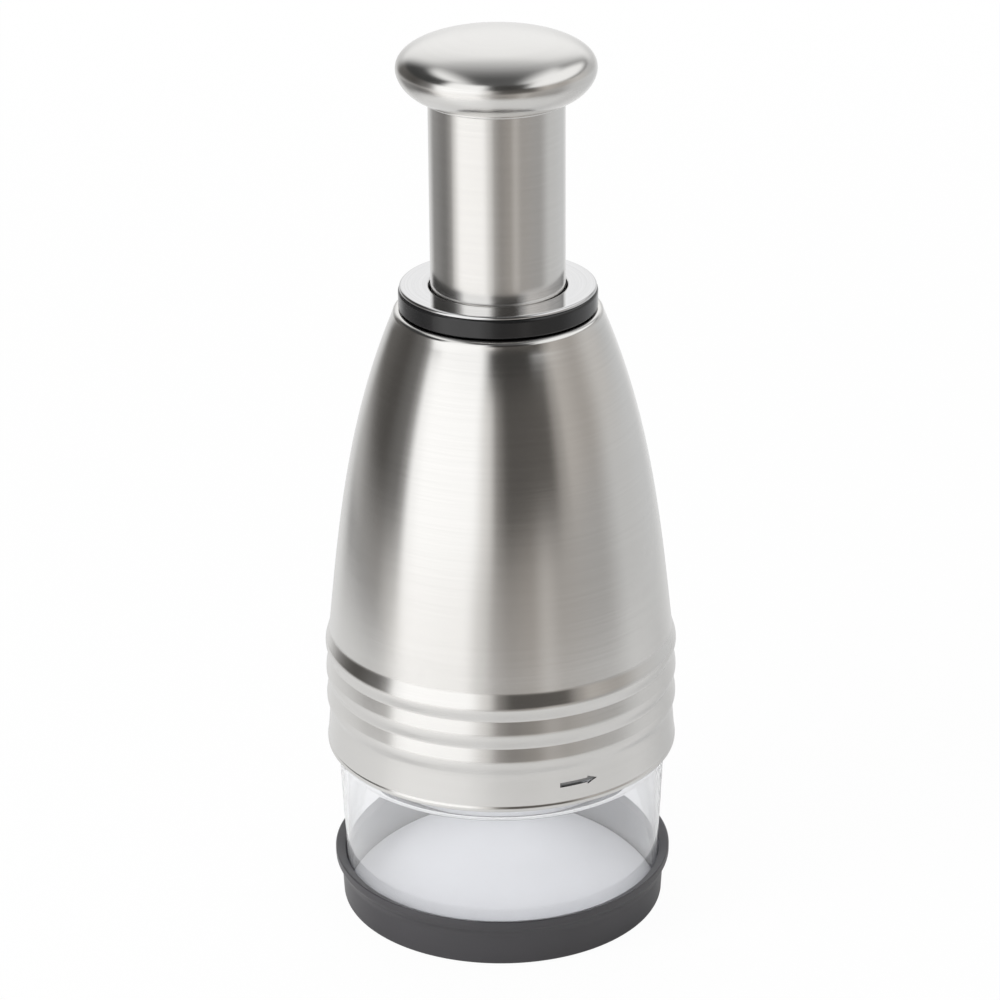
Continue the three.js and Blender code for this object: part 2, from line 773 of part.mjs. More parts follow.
// The body of a slot that a blade fits, longer than the blade by the gap at each end
function bladeSlot(front, gap, low, high) {
  const path = bladePath(front);
  const last = path.length - 1;
  const start = path[0].clone().sub(path[1]).setLength(gap);
  const end = path[last].clone().sub(path[last - 1]).setLength(gap);
  path[0].add(start);
  path[last].add(end);
  const shape = new THREE.Shape(band(path, blade.thickness / 2 + gap));
  return raised(shape, low, high);
}

const sides = { front: 1, rear: -1 };

function bladeHub() {
  let body = turned(
    [
      [0, hubUnder],
      [hubRadius, hubUnder],
      [hubRadius, hubTop],
      [bossRadius, hubTop],
      [bossRadius, bossTop],
      [0, bossTop],
    ],
    wideSides,
  );
  const recess = hubScrew.headHeight + snug;
  body = body.subtract(rod(hubScrew.head + snug, hubUnder - overrun, hubUnder + recess, smallSides));
  body = body.subtract(rod(hubScrew.shank + snug, hubUnder, socketUnder + overrun, pinSides));
  body = body.subtract(finnedBar(snug, socketUnder, bossTop + overrun));
  for (const front of Object.values(sides)) {
    body = body.subtract(bladeSlot(front, snug, hubUnder - overrun, hubUnder + blade.tenon + snug));
  }
  return body;
}

function wiperPlate() {
  const edge = chamberBore - wiper.rimGap;
  let body = turned(
    [
      [0, wiperUnder],
      [edge, wiperUnder],
      [edge, wiperTop + wiper.rimHeight],
      [edge - wiper.rim, wiperTop + wiper.rimHeight],
      [edge - wiper.rim, wiperTop],
      [0, wiperTop],
    ],
    wideSides,
  );
  for (const front of Object.values(sides)) {
    body = body.subtract(bladeSlot(front, wiper.slotGap, wiperUnder - overrun, wiperTop + overrun));
  }
  return body;
}

const finish = (color, roughness, metalness, more = {}) =>
  new THREE.MeshStandardMaterial({ color, roughness, metalness, ...more });
const brushedSteel = finish(0xc6c4bf, 0.34, 1);
const polishedSteel = finish(0xdedede, 0.08, 1);
const bladeSteel = finish(0xd2d4d6, 0.2, 1);
const springSteel = finish(0xa9abad, 0.3, 1);
const screwSteel = finish(0xb4b4b2, 0.35, 1);
const satinBlack = finish(0x3e3c40, 0.45, 0);
const glossBlack = finish(0x1c1b1d, 0.12, 0);
const clearPlastic = finish(0xeef2f5, 0.04, 0, { transparent: true, opacity: 0.3 });
const whitePlastic = finish(0xe8e8ec, 0.4, 0);
const slickPlastic = finish(0xe9e5d8, 0.4, 0);
const greyPlastic = finish(0x6a6a6c, 0.5, 0);
const rubber = finish(0x2c2b2d, 0.8, 0);

const chopper = new THREE.Group();

function add(name, body, material) {
  const made = body.getMesh();
  const geometry = new THREE.BufferGeometry();
  geometry.setAttribute("position", new THREE.BufferAttribute(made.vertProperties, made.numProp));
  geometry.setIndex(new THREE.BufferAttribute(made.triVerts, 1));
  geometry.computeVertexNormals();
  const mesh = new THREE.Mesh(geometry, material);
  mesh.name = name;
  chopper.add(mesh);
  return mesh;
}

function addScrews(name, size, level, circle) {
  around(screwCount).forEach((angle, i) => {
    const mesh = add(`${name}_${i + 1}`, screw(size, level), screwSteel);
    mesh.position.set(circle * Math.cos(angle), circle * Math.sin(angle), 0);
  });
}

add("base_cap", baseCap(), satinBlack);
add("chopping_board", choppingBoard(), whitePlastic);
add("foot_ring", footRingBody(), rubber);
add("chamber", chamber(), clearPlastic);
add("housing_shell", housingShell(), brushedSteel);
add("housing_liner", housingLiner(), greyPlastic);
add("collar", collarBody(), glossBlack);
add("trim_disc", trimDisc(), polishedSteel);
add("guide_bush", guideBush(), satinBlack);
addScrews("collar_screw", collarScrew, plateUnder - snug, collarScrewCircle);
add("bulkhead", bulkheadPlate(), greyPlastic);
addScrews("bulkhead_screw", bulkheadScrew, bulkheadUnder - snug, bulkheadCircle);
add("cam_nut", camNutBody(), slickPlastic);
add("spring_washer", springWasherBody(), screwSteel);
add("return_spring", returnSpring(), springSteel);
add("palm_knob", palmKnob(), brushedSteel);
add("knob_core", knobCore(), greyPlastic);
add("knob_screw", screw(knobScrew, sleeveTop - sleeve.topWall - snug), screwSteel);
add("plunger_tube", plungerTube(), brushedSteel);
add("tube_slider", tubeSlider(), slickPlastic);
add("stop_ring", stopRingBody(), rubber);
add("spindle_sleeve", spindleSleeve(), slickPlastic);
add("thrust_washer", thrustWasherBody(), screwSteel);
add("spindle", spindleBody(), greyPlastic);
add("spindle_clip", spindleClip(), springSteel);
add("blade_hub", bladeHub(), whitePlastic);
add("hub_screw", screw(hubScrew, hubUnder + snug + hubScrew.headHeight), screwSteel);
for (const [name, front] of Object.entries(sides)) add(`${name}_blade`, bladeBody(front), bladeSteel);
add("wiper_plate", wiperPlate(), whitePlastic);

export default chopper;
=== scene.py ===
import json
from math import atan2, cos, hypot, pi, radians, sin

import bmesh
import bpy
from mathutils import Matrix, Vector


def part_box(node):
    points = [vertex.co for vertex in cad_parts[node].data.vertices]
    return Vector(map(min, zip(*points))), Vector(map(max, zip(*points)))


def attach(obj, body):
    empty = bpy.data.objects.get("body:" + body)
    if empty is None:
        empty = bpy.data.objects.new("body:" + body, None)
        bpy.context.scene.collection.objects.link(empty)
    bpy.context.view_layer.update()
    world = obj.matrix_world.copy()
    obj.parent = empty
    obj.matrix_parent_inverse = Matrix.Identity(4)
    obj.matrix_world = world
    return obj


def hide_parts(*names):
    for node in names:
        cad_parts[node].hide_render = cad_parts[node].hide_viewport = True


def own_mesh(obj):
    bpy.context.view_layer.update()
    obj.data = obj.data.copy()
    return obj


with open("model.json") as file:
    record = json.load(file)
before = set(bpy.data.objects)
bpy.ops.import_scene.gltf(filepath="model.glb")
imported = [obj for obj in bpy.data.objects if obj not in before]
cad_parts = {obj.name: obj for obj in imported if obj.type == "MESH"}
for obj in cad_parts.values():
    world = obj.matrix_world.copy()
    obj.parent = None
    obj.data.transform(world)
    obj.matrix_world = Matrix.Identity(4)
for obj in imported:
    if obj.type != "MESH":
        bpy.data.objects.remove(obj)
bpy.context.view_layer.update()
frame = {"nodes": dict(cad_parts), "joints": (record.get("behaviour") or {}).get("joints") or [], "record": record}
print("frame loaded")

mm = 0.001
wideSides = 192
middleSides = 128
roundSteps = 5
smoothAngle = 32
touch = 0.01  # corners that are this close, in millimetres, are the same
weld = 0.002  # corners of a turned piece that are this close become one
overrun = 1  # how far a cutting tool runs past what it cuts


# Camera: long lens, a little above the chopper
camera = {
    "pitch": 23.26, "roll": 0.45, "distance": 900, "aim": (0.08, 0, 111.04),
    "lens": 128.2, "sensor": 36, "clip": 0.01,
}


def placeCamera():
    bpy.ops.object.camera_add()
    made = bpy.context.object
    made.name = "camera"
    made.data.lens = camera["lens"]
    made.data.sensor_width = camera["sensor"]
    made.data.clip_start = camera["clip"]
    pitch = radians(camera["pitch"])
    back = Vector((0, -cos(pitch), sin(pitch))) * camera["distance"]
    place = Matrix.Translation((Vector(camera["aim"]) + back) * mm)
    tilt = Matrix.Rotation(pi / 2 - pitch, 4, "X") @ Matrix.Rotation(-radians(camera["roll"]), 4, "Z")
    made.matrix_world = place @ tilt
    bpy.context.scene.camera = made


placeCamera()
bpy.context.scene.view_settings.view_transform = "Standard"
print("camera placed")


# Shader maths: a wrapped socket, so that expressions add their Math nodes
class Link:
    def __init__(self, tree, socket=None):
        self.tree = tree
        self.socket = socket

    def node(self, kind, settings, inputs, out=0):
        made = self.tree.nodes.new(kind)
        for key, value in settings.items():
            if key == "stops":
                fillRamp(made.color_ramp, value)
            elif key == "blend":
                made.color_ramp.interpolation = value
            else:
                setattr(made, key, value)
        for key, value in inputs.items():
            if isinstance(value, Link):
                self.tree.links.new(value.socket, made.inputs[key])
            else:
                made.inputs[key].default_value = value
        if len(made.outputs):
            return Link(self.tree, made.outputs[out])

    def math(self, operation, first, second=0.0):
        return self.node("ShaderNodeMath", {"operation": operation}, {0: first, 1: second})

    def __add__(self, other):
        return self.math("ADD", self, other)

    def __radd__(self, other):
        return self.math("ADD", other, self)

    def __sub__(self, other):
        return self.math("SUBTRACT", self, other)

    def __rsub__(self, other):
        return self.math("SUBTRACT", other, self)

    def __mul__(self, other):
        return self.math("MULTIPLY", self, other)

    def __rmul__(self, other):
        return self.math("MULTIPLY", other, self)

    def __truediv__(self, other):
        return self.math("DIVIDE", self, other)

    def between(self, low, high):
        # 0 below low, 1 above high, smooth between
        settings = {"interpolation_type": "SMOOTHSTEP"}
        return self.node("ShaderNodeMapRange", settings, {"Value": self, "From Min": low, "From Max": high})

    def spread(self):
        # Noise stays near its middle: this takes it from 0 to 1
        return self.between(0.3, 0.7)

    def tint(self, low, high):
        # A colour that goes from low to high with this value
        return self.node("ShaderNodeMix", {"data_type": "RGBA"}, {0: self, 6: low, 7: high}, 2)

    def bump(self, depth):
        return self.node("ShaderNodeBump", {}, {"Height": self, "Distance": depth, "Strength": 1.0})


def fillRamp(ramp, stops):
    while len(ramp.elements) < len(stops):
        ramp.elements.new(1.0)
    for element, (place, colour) in zip(ramp.elements, stops):
        element.position = place
        element.color = colour


def grey(level):
    return (level, level, level, 1)


# A colour made lighter or darker by a step
def shade(colour, by):
    return tuple(min(1.0, c + by) for c in colour) + (1,)


# A new material: its tree's root, and where on the piece a point is
def startMaterial(name):
    made = bpy.data.materials.new(name)
    made.use_nodes = True
    made.node_tree.nodes.clear()
    root = Link(made.node_tree)
    root.material = made
    root.place = root.node("ShaderNodeTexCoord", {}, {}, "Object")
    return root


def closeMaterial(root, shader):
    root.node("ShaderNodeOutputMaterial", {}, {"Surface": shader})
    return root.material


def principled(root, inputs):
    return closeMaterial(root, root.node("ShaderNodeBsdfPrincipled", {}, inputs))


def mixShaders(root, factor, first, second):
    return root.node("ShaderNodeMixShader", {}, {0: factor, 1: first, 2: second})


# 1 for a ray of this kind, such as "Glossy"
def rayIs(root, kind):
    return root.node("ShaderNodeLightPath", {}, {}, "Is " + kind + " Ray")


def rayIsEither(root, first, second):
    return root.math("MAXIMUM", rayIs(root, first), rayIs(root, second))


def noise(root, place, scale, detail=3.0, roughness=0.5):
    inputs = {"Vector": place, "Scale": scale, "Detail": detail, "Roughness": roughness}
    return root.node("ShaderNodeTexNoise", {}, inputs)


def split(root):
    return [root.node("ShaderNodeSeparateXYZ", {}, {0: root.place}, axis) for axis in "XYZ"]


def joined(root, x, y, z):
    return root.node("ShaderNodeCombineXYZ", {}, {"X": x, "Y": y, "Z": z})


def fromAxis(root, x, y):
    return root.math("POWER", x * x + y * y, 0.5)


# Lines that run round the axis, from brushing or turning: fine across, long along
def turnedLines(root, across, along):
    x, y, z = split(root)
    return noise(root, joined(root, x * along, y * along, (z - fromAxis(root, x, y)) * across), 1.0, 2.0)


steel = {
    "colour": (0.855, 0.845, 0.825), "change": 0.022, "across": 7000, "along": 45, "depth": 0.0000012,
    "smear": 35.0, "anisoTurn": 0.25,
    "shell": {"rough": 0.15, "aniso": 0.3},
    "tube": {"rough": 0.19, "aniso": 0.5},
    "knob": {"rough": 0.19, "aniso": 0.2},
}


# Lines, colour and roughness of brushed steel
def brushing(root, rough):
    fine = turnedLines(root, steel["across"], steel["along"])
    broad = turnedLines(root, steel["across"] / 6, steel["along"] / 3)
    smear = noise(root, root.place, steel["smear"])
    lines = fine * 0.6 + broad * 0.4
    dark = shade(steel["colour"], -steel["change"])
    light = shade(steel["colour"], steel["change"])
    colour = lines.between(0.25, 0.75).tint(dark, light)
    return lines, colour, lines * 0.08 + smear * 0.04 + (rough - 0.06)


def brushedSteelMaterial(name, look):
    root = startMaterial(name)
    lines, colour, dull = brushing(root, look["rough"])
    return principled(root, {
        "Base Color": colour,
        "Metallic": 1.0,
        "Roughness": dull,
        "Anisotropic": look["aniso"],
        "Anisotropic Rotation": steel["anisoTurn"],
        "Normal": lines.bump(steel["depth"]),
    })


# The twist mark's ink: from and to are degrees round the skirt, reach, shallow and deep millimetres
markInk = {
    "from": 15, "to": 38, "reach": 2.2, "shallow": 0.14, "deep": 0.5, "dark": 0.23, "dull": 0.3, "bare": 0.8,
}


# The shell's steel, with the twist mark's groove darkened
def shellSteelMaterial(outside, level):
    root = startMaterial("shellSteel")
    lines, clean, dull = brushing(root, steel["shell"]["rough"])
    x, y, z = split(root)
    azimuth = root.math("ARCTAN2", x, y * -1.0)
    limits = [
        (fromAxis(root, x, y), (outside - markInk["deep"]) * mm, (outside - markInk["shallow"]) * mm),
        (z, (level - markInk["reach"]) * mm, (level + markInk["reach"]) * mm),
        (azimuth, radians(markInk["from"]), radians(markInk["to"])),
    ]
    sunk = 1.0
    for value, low, high in limits:
        sunk = root.math("GREATER_THAN", value, low) * sunk
        sunk = root.math("LESS_THAN", value, high) * sunk
    return principled(root, {
        "Base Color": sunk.tint(clean, grey(markInk["dark"])),
        "Metallic": 1 - sunk * markInk["bare"],
        "Roughness": dull + sunk * markInk["dull"],
        "Anisotropic": steel["shell"]["aniso"],
        "Anisotropic Rotation": steel["anisoTurn"],
        "Normal": lines.bump(steel["depth"]),
    })


def polishedSteelMaterial():
    root = startMaterial("polishedSteel")
    lines = turnedLines(root, across=5000, along=30)
    smear = noise(root, root.place, scale=60.0, detail=4.0)
    return principled(root, {
        "Base Color": lines.spread().tint((0.77, 0.77, 0.775, 1), (0.83, 0.83, 0.835, 1)),
        "Metallic": 1.0,
        "Roughness": lines * 0.04 + smear * 0.03 + 0.035,
        "Normal": lines.bump(0.000001),
    })


def bladeSteelMaterial():
    root = startMaterial("bladeSteel")
    along, across = 600, 9000
    x, y, z = split(root)
    lines = noise(root, joined(root, x * along, y * along, z * across), 1.0, 2.0)
    ground = noise(root, root.place, scale=90.0, detail=4.0)
    return principled(root, {
        "Base Color": lines.spread().tint((0.66, 0.67, 0.69, 1), (0.82, 0.83, 0.84, 1)),
        "Metallic": 1.0,
        "Roughness": lines * 0.12 + ground * 0.08 + 0.12,
        "Normal": lines.bump(0.000003),
    })


def springSteelMaterial():
    root = startMaterial("springSteel")
    drawn = noise(root, root.place, scale=900.0)
    patch = noise(root, root.place, scale=120.0)
    mixed = drawn * 0.5 + patch * 0.5
    return principled(root, {
        "Base Color": mixed.spread().tint((0.42, 0.43, 0.45, 1), (0.62, 0.62, 0.62, 1)),
        "Metallic": 1.0,
        "Roughness": drawn * 0.2 + 0.2,
        "Normal": drawn.bump(0.000006),
    })


def screwSteelMaterial():
    root = startMaterial("screwSteel")
    grain = noise(root, root.place, scale=1500.0)
    cloud = noise(root, root.place, scale=260.0)
    return principled(root, {
        "Base Color": cloud.spread().tint((0.58, 0.59, 0.6, 1), (0.74, 0.74, 0.72, 1)),
        "Metallic": 1.0,
        "Roughness": grain * 0.2 + 0.24,
        "Normal": grain.bump(0.000008),
    })


# Moulded plastics: grain and its depth, a cloud in the colour, and wear that lightens the edges
moulded = {
    "satin_black": {
        "name": "satinBlack", "colour": (0.026, 0.0245, 0.0285), "rough": 0.32,
        "grain": 2600.0, "depth": 0.00002, "cloud": 0.08, "wear": 0.04, "shine": 1.0,
    },
    "gloss_black": {
        "name": "glossBlack", "colour": (0.009, 0.009, 0.0095), "rough": 0.16,
        "grain": 900.0, "depth": 0.000002, "cloud": 0.05, "coat": 0.3,
    },
    "white_plastic": {
        "name": "whitePlastic", "colour": (0.84, 0.845, 0.86), "rough": 0.4,
        "grain": 1800.0, "depth": 0.000012, "cloud": 0.02,
    },
    "slick_plastic": {
        "name": "acetal", "colour": (0.78, 0.75, 0.67), "rough": 0.38,
        "grain": 1500.0, "depth": 0.00001, "cloud": 0.03,
    },
    "grey_plastic": {
        "name": "greyPlastic", "colour": (0.3, 0.3, 0.31), "rough": 0.48,
        "grain": 2000.0, "depth": 0.00002, "cloud": 0.07, "wear": 0.05,
    },
    "rubber": {
        "name": "rubber", "colour": (0.022, 0.022, 0.022), "rough": 0.75,
        "grain": 1600.0, "depth": 0.00004, "cloud": 0.12, "wear": 0.03,
    },
}


def mouldedMaterial(look):
    root = startMaterial(look["name"])
    grain = noise(root, root.place, look["grain"], detail=2.0, roughness=0.6)
    patch = noise(root, root.place, scale=45.0, detail=4.0)
    low = tuple(c * (1 - look["cloud"]) for c in look["colour"]) + (1,)
    high = tuple(min(1.0, c * (1 + look["cloud"])) for c in look["colour"]) + (1,)
    mixed = patch.spread().tint(low, high)
    if "wear" in look:
        edge = root.node("ShaderNodeNewGeometry", {}, {}, "Pointiness").between(0.51, 0.58)
        rubbed = edge * noise(root, root.place, scale=400.0).between(0.35, 0.65)
        mixed = (rubbed * look["wear"]).tint(mixed, shade(look["colour"], 0.25))
    inputs = {
        "Base Color": mixed,
        "Roughness": grain * 0.1 + patch * 0.06 + (look["rough"] - 0.08),
        "Specular IOR Level": look.get("shine", 0.5),
        "Normal": grain.bump(look["depth"]),
    }
    if "coat" in look:
        inputs["Coat Weight"] = look["coat"]
        inputs["Coat Roughness"] = 0.04
    return principled(root, inputs)


# Clear plastic bends what is seen through it, and lets the lamps and the room's light straight in
def clearPlasticMaterial():
    root = startMaterial("clearPlastic")
    flow = noise(root, root.place, scale=30.0, detail=2.0)
    fine = noise(root, root.place, scale=500.0, detail=2.0)
    solid = root.node("ShaderNodeBsdfPrincipled", {}, {
        "Base Color": flow.spread().tint((0.95, 0.953, 0.962, 1), (0.962, 0.965, 0.972, 1)),
        "Roughness": fine * 0.02 + 0.005,
        "Transmission Weight": 0.9,
        "IOR": 1.49,
        "Normal": flow.bump(0.00001),
    })
    film = root.node("ShaderNodeBsdfTransparent", {}, {"Color": (0.965, 0.97, 0.98, 1)})
    return closeMaterial(root, mixShaders(root, rayIsEither(root, "Shadow", "Diffuse"), solid, film))


# The board: smooth white plastic with short cuts from the blades
boardMarks = {
    "turns": (0.3, 1.1, 2.2, 2.9), "along": 90, "across": 2600, "share": 0.3, "colour": (0.66, 0.66, 0.67, 1),
}


def boardMaterial():
    root = startMaterial("whiteBoard")
    x, y = split(root)[:2]
    marks = 0.0
    for turn in boardMarks["turns"]:
        along = x * cos(turn) + y * sin(turn)
        side = y * cos(turn) - x * sin(turn)
        place = joined(root, along * boardMarks["along"], side * boardMarks["across"], turn)
        cuts = noise(root, place, 1.0, 1.0).between(0.7, 0.76)
        marks = root.math("MAXIMUM", marks, cuts)
    patch = noise(root, root.place, scale=60.0)
    grain = noise(root, root.place, scale=2500.0, detail=2.0)
    plain = patch.spread().tint((0.805, 0.807, 0.828, 1), (0.835, 0.837, 0.858, 1))
    height = grain * 0.15 - marks * 0.6
    return principled(root, {
        "Base Color": (marks * boardMarks["share"]).tint(plain, boardMarks["colour"]),
        "Roughness": grain * 0.12 + 0.34,
        "Normal": height.bump(0.00003),
    })


finishes = {slotName: mouldedMaterial(look) for slotName, look in moulded.items()}
finishes["brushed_steel"] = brushedSteelMaterial("tubeSteel", steel["tube"])
finishes["polished_steel"] = polishedSteelMaterial()
finishes["blade_steel"] = bladeSteelMaterial()
finishes["spring_steel"] = springSteelMaterial()
finishes["screw_steel"] = screwSteelMaterial()
finishes["clear_plastic"] = clearPlasticMaterial()
print("finishes made")


# Modelling helpers
def clear():
    bpy.ops.object.select_all(action="DESELECT")


def focus(piece):
    clear()
    piece.select_set(True)
    bpy.context.view_layer.objects.active = piece


def enter(kind="VERT"):
    bpy.ops.object.mode_set(mode="EDIT")
    bpy.ops.mesh.select_mode(type=kind)


def leave():
    bpy.ops.object.mode_set(mode="OBJECT")


def pickAll():
    bpy.ops.mesh.select_all(action="SELECT")


# Select the corners of the piece in hand that pass a test
def pick(piece, test):
    mesh = bmesh.from_edit_mesh(piece.data)
    for corner in mesh.verts:
        corner.select_set(bool(test(corner)))
    mesh.select_flush_mode()
    bmesh.update_edit_mesh(piece.data)


def faceOutwards():
    pickAll()
    bpy.ops.mesh.normals_make_consistent(inside=False)


def closeHoles():
    pickAll()
    bpy.ops.mesh.fill_holes(sides=0)


# Puts a piece's place, or its turn, into its mesh
def settle(piece, place=False, turned=False):
    focus(piece)
    bpy.ops.object.transform_apply(location=place, rotation=turned, scale=False)


# A chain of corners in millimetres, drawn point by point: (radius, height, rounding) in the XZ plane, or
# (x, y, rounding) where a level is given
def chain(name, corners, ring, level=None):
    def spot(corner):
        if level is None:
            return Vector((corner[0], 0, corner[1])) * mm
        return Vector((corner[0], corner[1], level)) * mm

    clear()
    bpy.ops.mesh.primitive_plane_add(size=mm, location=spot(corners[0]))
    piece = bpy.context.object
    settle(piece, place=True)
    piece.name = piece.data.name = name
    enter()
    pickAll()
    bpy.ops.mesh.merge(type="CENTER")
    for before, after in zip(corners, corners[1:]):
        step = spot(after) - spot(before)
        bpy.ops.mesh.extrude_vertices_move(TRANSFORM_OT_translate={"value": step})
    if ring:
        last = len(corners) - 1
        pick(piece, lambda corner: corner.index in (0, last))
        bpy.ops.mesh.edge_face_add()
    for corner in corners:
        if len(corner) > 2:
            place = spot(corner)
            pick(piece, lambda at: (at.co - place).length < touch * mm)
            bpy.ops.mesh.bevel(offset=corner[2] * mm, segments=roundSteps, affect="VERTICES")
    return piece


# How far from a rounding a holding point stands, and how long a straight has to be to get one
holding = {"away": 0.15, "least": 1.5}


# Corners with a holding point beside each rounding, so that the straight between keeps flat shading
def held(corners):
    points = [corners[0]]
    for before, after in zip(corners, corners[1:]):
        along, up = after[0] - before[0], after[1] - before[1]
        span = hypot(along, up)
        first = before[2] + holding["away"] if len(before) > 2 else 0
        last = after[2] + holding["away"] if len(after) > 2 else 0
        if span > holding["least"] * (first + last):
            for stop in (first, span - last):
                if 0 < stop < span:
                    points.append((before[0] + along * stop / span, before[1] + up * stop / span))
        points.append(after)
    return points


# A turned piece: the chain spun round the axis
def turn(name, corners, sides=wideSides, ring=True):
    piece = chain(name, held(corners), ring)
    pickAll()
    bpy.ops.mesh.spin(steps=sides, angle=2 * pi, center=(0, 0, 0), axis=(0, 0, 1))
    pickAll()
    bpy.ops.mesh.remove_doubles(threshold=weld * mm)
    faceOutwards()
    leave()
    return piece


def applyModifier(piece, kind, settings):
    focus(piece)
    modifier = piece.modifiers.new("shape", kind)
    for key, value in settings.items():
        setattr(modifier, key, value)
    bpy.ops.object.modifier_apply(modifier=modifier.name)


def cut(piece, tool, operation="DIFFERENCE"):
    applyModifier(piece, "BOOLEAN", {"operation": operation, "solver": "EXACT", "object": tool})
    bpy.data.objects.remove(tool)


# Gives a finished piece its shading, its body and its finish, and hides the node that it stands for
def dress(piece, body, slotName, node, material=None, angle=smoothAngle):
    focus(piece)
    bpy.ops.object.shade_smooth_by_angle(angle=radians(angle))
    piece.data.materials.clear()
    piece.data.materials.append(material or finishes[slotName])
    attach(piece, body)
    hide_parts(node)
    clear()
    print("made", piece.name)


# A node's lowest and highest level and its radius, in millimetres
def reach(node):
    low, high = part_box(node)
    return low[2] / mm, high[2] / mm, high[0] / mm


def curve(steps):
    return [i / steps for i in range(steps + 1)]


# Base cap: a dish with a flared rim, standing on a rubber ring
cap = {
    "overhang": 1.5, "wall": 1.1, "foot": 0.5, "band": 2.3, "flare": 2.2, "fall": 1.2, "floor": 2.2,
    "footRound": 0.9, "flareRound": 1.2, "underRound": 0.45, "rimRound": 0.4, "mouthRound": 0.3,
    "floorRound": 0.5,
}
foot = {
    "inner": 33, "outer": 37.5, "depth": 1, "gap": 0.3, "groove": 0.3, "grooveDepth": 0.3, "grooveLip": 0.15,
    "seatRound": 0.15, "round": 0.25, "topRound": 0.1, "grooveRound": 0.12,
}


def baseCap():
    low, top, rim = reach("base_cap")
    body = rim - cap["overhang"]
    mouth = body - cap["wall"]
    under = top - cap["band"]
    seat = low + foot["depth"]
    floor = low + cap["floor"]
    corners = [
        (0, low), (foot["inner"], low, foot["seatRound"]), (foot["inner"], seat),
        (foot["outer"], seat), (foot["outer"], low, foot["seatRound"]),
        (body - cap["foot"], low, cap["footRound"]), (body, under - cap["flare"], cap["flareRound"]),
        (rim, under, cap["underRound"]), (rim, top, cap["rimRound"]),
        (mouth, top - cap["fall"], cap["mouthRound"]), (mouth, floor, cap["floorRound"]), (0, floor),
    ]
    dress(turn("cap_moulding", corners, ring=False), "base", "satin_black", "base_cap")


def footRing():
    low, top, outer = reach("foot_ring")
    inner = foot["inner"] + foot["gap"]
    middle = (inner + outer) / 2
    groove = foot["groove"]
    lip = groove + foot["grooveLip"]
    roof = low + foot["grooveDepth"]
    corners = [
        (inner, low, foot["round"]), (middle - lip, low, foot["grooveRound"]), (middle - groove, roof),
        (middle + groove, roof), (middle + lip, low, foot["grooveRound"]), (outer, low, foot["round"]),
        (outer, top, foot["topRound"]), (inner, top, foot["topRound"]),
    ]
    dress(turn("foot_band", corners), "base", "rubber", "foot_ring")


board = {"underRound": 0.3, "topRound": 0.5}


def choppingBoard():
    low, top, edge = reach("chopping_board")
    corners = [(0, low), (edge, low, board["underRound"]), (edge, top, board["topRound"]), (0, top)]
    piece = turn("board_disc", corners, ring=False)
    dress(piece, "base", "white_plastic", "chopping_board", boardMaterial())


# Clear chamber, with a shoulder and the lugs of the catch
chamberShape = {
    "draft": 1.8, "wall": 1.8, "neck": 41.9, "step": 0.3, "shoulderTop": 45.55, "shoulderHeight": 2.5,
    "slope": 0.6, "innerFoot": 0.4, "outerFoot": 0.7, "sideRound": 0.4, "underRound": 0.9,
    "shoulderRound": 0.5, "neckRound": 0.3, "topRound": 0.4, "innerRound": 4,
}
lugShape = {
    "count": 3, "low": 51.55, "height": 3, "spread": 14, "outer": 43, "start": 90, "sunk": 0.75, "steps": 10,
}


def chamberLug(index):
    root = chamberShape["neck"] - lugShape["sunk"]
    outer = lugShape["outer"]
    low = lugShape["low"]
    high = low + lugShape["height"]
    piece = chain("lug", [(root, low), (outer, low), (outer, high), (root, high)], True)
    pickAll()
    spread = radians(lugShape["spread"])
    bpy.ops.mesh.spin(steps=lugShape["steps"], angle=spread, center=(0, 0, 0), axis=(0, 0, 1))
    closeHoles()
    faceOutwards()
    leave()
    angles = [atan2(corner.co.y, corner.co.x) for corner in piece.data.vertices]
    middle = radians(lugShape["start"] + 360 * index / lugShape["count"])
    piece.rotation_euler = (0, 0, middle - (max(angles) + min(angles)) / 2)
    settle(piece, turned=True)
    return piece


def chamber():
    low, top, shoulder = reach("chamber")
    neck = chamberShape["neck"]
    side = neck + chamberShape["step"]
    inner = side - chamberShape["wall"]
    under = side - chamberShape["draft"]
    ledge = chamberShape["shoulderTop"]
    beneath = ledge - chamberShape["shoulderHeight"]
    corners = [
        (under - chamberShape["wall"], low, chamberShape["innerFoot"]),
        (under, low, chamberShape["outerFoot"]),
        (side, beneath - chamberShape["slope"], chamberShape["sideRound"]),
        (shoulder, beneath, chamberShape["underRound"]), (shoulder, ledge, chamberShape["shoulderRound"]),
        (neck, ledge, chamberShape["neckRound"]), (neck, top, chamberShape["topRound"]),
        (inner, top, chamberShape["topRound"]), (inner, ledge, chamberShape["innerRound"]),
    ]
    piece = turn("chamber_wall", corners)
    for i in range(lugShape["count"]):
        cut(piece, chamberLug(i), "UNION")
    dress(piece, "chamber", "clear_plastic", "chamber")


# Housing shell: skirt with a rolled edge and three beads, then the dome
shell = {
    "wall": 0.6, "plain": 44.2, "hem": 0.9, "blend": 8, "hemStep": 0.18, "hemSlope": 0.5,
    "hemRound": 0.25, "hemCorner": 0.28, "stepRound": 0.2, "blendRound": 1, "innerRound": 1.5,
}
bead = {
    "crest": 44.95, "pitch": 7.45, "first": 12.45, "count": 3, "rise": 2.4, "low": 0.4, "high": 0.9,
    "footRound": 0.35, "lowRound": 0.5, "highRound": 0.6,
}
dome = {
    "foot": 32.1, "height": 84.7, "start": 43.8, "top": 25.8, "mouth": 22.4, "steps": 60, "innerSteps": 20,
    "footStep": 0.05, "footDrop": 0.3, "footRound": 0.4, "topDrop": 0.05, "topRound": 1, "mouthRound": 0.2,
    "innerMouthRound": 0.1, "innerDrop": 0.1, "innerFoot": 2.6,
}
